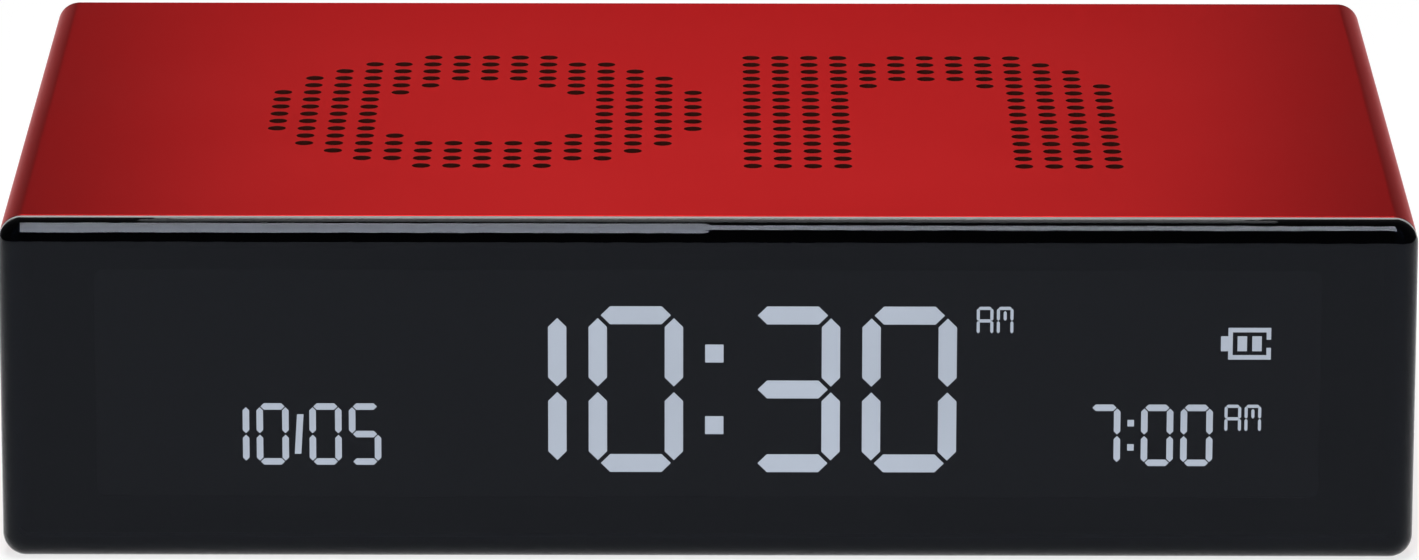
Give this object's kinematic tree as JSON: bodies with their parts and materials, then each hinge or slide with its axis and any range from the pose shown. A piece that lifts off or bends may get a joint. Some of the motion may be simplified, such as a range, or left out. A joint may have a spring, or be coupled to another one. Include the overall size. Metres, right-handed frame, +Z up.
{
  "type": "reversible alarm clock",
  "caption": "Flat block-shaped display alarm clock in a perforated red sleeve with a smoked front window; turning it over arms or disarms the alarm.",
  "frame": {"origin": "middle of the underside, where the clock rests on its surface", "axes": "+X to the right as the display is read, +Y from the display to the back, +Z up"},
  "size_m": [0.15, 0.1, 0.037],
  "materials": {
    "sleeve_red": "red anodised, fine bead-blasted satin",
    "lens_smoke": "smoked clear plastic, polished",
    "mask_black": "black print",
    "tape_black": "black foam adhesive",
    "frame_black": "moulded",
    "screw_steel": "zinc plated",
    "lcd_black": "dark liquid-crystal glass",
    "display_lit": "lit segments",
    "guide_clear": "clear acrylic light guide",
    "reflector_white": "white reflective film",
    "board_green": "green solder mask",
    "led_white": "white light-emitting diode",
    "flex_amber": "polyimide film",
    "cloth_black": "fine woven acoustic cloth",
    "chassis_black": "moulded",
    "chip_black": "epoxy",
    "can_steel": "drawn can",
    "can_aluminium": "drawn can",
    "cell_silver": "laminated foil pouch",
    "tape_white": "double-sided tape",
    "plug_white": "moulded",
    "lead_red": "insulated wire",
    "lead_black": "insulated wire",
    "buzzer_black": "moulded",
    "disc_brass": "rolled sheet",
    "crystal_white": "silvered ceramic",
    "sensor_case": "moulded",
    "contact_gold": "gold plated",
    "ball_steel": "polished bearing ball",
    "cover_black": "finely textured moulding",
    "screw_black": "black oxide",
    "mark_white": "white print",
    "button_grey": "soft-touch moulding",
    "plunger_black": "moulded",
    "switch_case": "pressed cover",
    "socket_steel": "deep-drawn stainless shell",
    "tongue_black": "moulded",
    "ribbon_white": "flat cable"
  },
  "bodies": {
    "case": {"case_sleeve": "sleeve_red", "front_lens": "lens_smoke", "lens_mask": "mask_black", "lens_tape": "tape_black", "front_frame": "frame_black", "frame_screws": "screw_steel", "lcd_panel": "lcd_black", "time_digits": "display_lit", "date_digits": "display_lit", "alarm_digits": "display_lit", "am_marks": "display_lit", "battery_mark": "display_lit", "light_guide": "guide_clear", "reflector_sheet": "reflector_white", "led_board": "board_green", "backlight_leds": "led_white", "display_flex": "flex_amber", "dust_cloth_on": "cloth_black", "dust_cloth_off": "cloth_black", "chassis": "chassis_black", "main_board": "board_green", "board_screws": "screw_steel", "controller_chip": "chip_black", "clock_crystal": "can_steel", "capacitors": "can_aluminium", "battery_cell": "cell_silver", "battery_tape": "tape_white", "battery_socket": "plug_white", "battery_plug": "plug_white", "battery_lead_red": "lead_red", "battery_lead_black": "lead_black", "buzzer_case": "buzzer_black", "buzzer_disc": "disc_brass", "buzzer_crystal": "crystal_white", "buzzer_lead_red": "lead_red", "buzzer_lead_black": "lead_black", "tilt_sensor_case": "sensor_case", "tilt_sensor_contacts": "contact_gold", "rear_cover": "cover_black", "rear_screws": "screw_black", "button_marks": "mark_white", "button_board": "board_green", "button_board_screws": "screw_steel", "switch_bodies": "switch_case", "reset_switch": "switch_case", "usb_shell": "socket_steel", "usb_tongue": "tongue_black", "usb_contacts": "contact_gold", "ribbon_cable": "ribbon_white"},
    "set_time": {"set_time_button": "button_grey", "set_time_plunger": "plunger_black"},
    "set_alarm": {"set_alarm_button": "button_grey", "set_alarm_plunger": "plunger_black"},
    "minus": {"minus_button": "button_grey", "minus_plunger": "plunger_black"},
    "plus": {"plus_button": "button_grey", "plus_plunger": "plunger_black"},
    "reset": {"reset_plunger": "plunger_black"},
    "tilt": {"tilt_ball": "ball_steel"}
  },
  "joints": [
    {"name": "set_time_press", "type": "slide", "parent": "case", "child": "set_time", "axis": [0, -1, 0], "range_m": [0, 0.0004], "stiffness_N_per_m": 1500},
    {"name": "set_alarm_press", "type": "slide", "parent": "case", "child": "set_alarm", "axis": [0, -1, 0], "range_m": [0, 0.0004], "stiffness_N_per_m": 1500},
    {"name": "minus_press", "type": "slide", "parent": "case", "child": "minus", "axis": [0, -1, 0], "range_m": [0, 0.0004], "stiffness_N_per_m": 1500},
    {"name": "plus_press", "type": "slide", "parent": "case", "child": "plus", "axis": [0, -1, 0], "range_m": [0, 0.0004], "stiffness_N_per_m": 1500},
    {"name": "reset_press", "type": "slide", "parent": "case", "child": "reset", "axis": [0, -1, 0], "range_m": [0, 0.00025], "stiffness_N_per_m": 1500},
    {"name": "tilt_ball_roll", "type": "slide", "parent": "case", "child": "tilt", "axis": [0, 0, 1], "range_m": [0, 0.0033]}
  ]
}
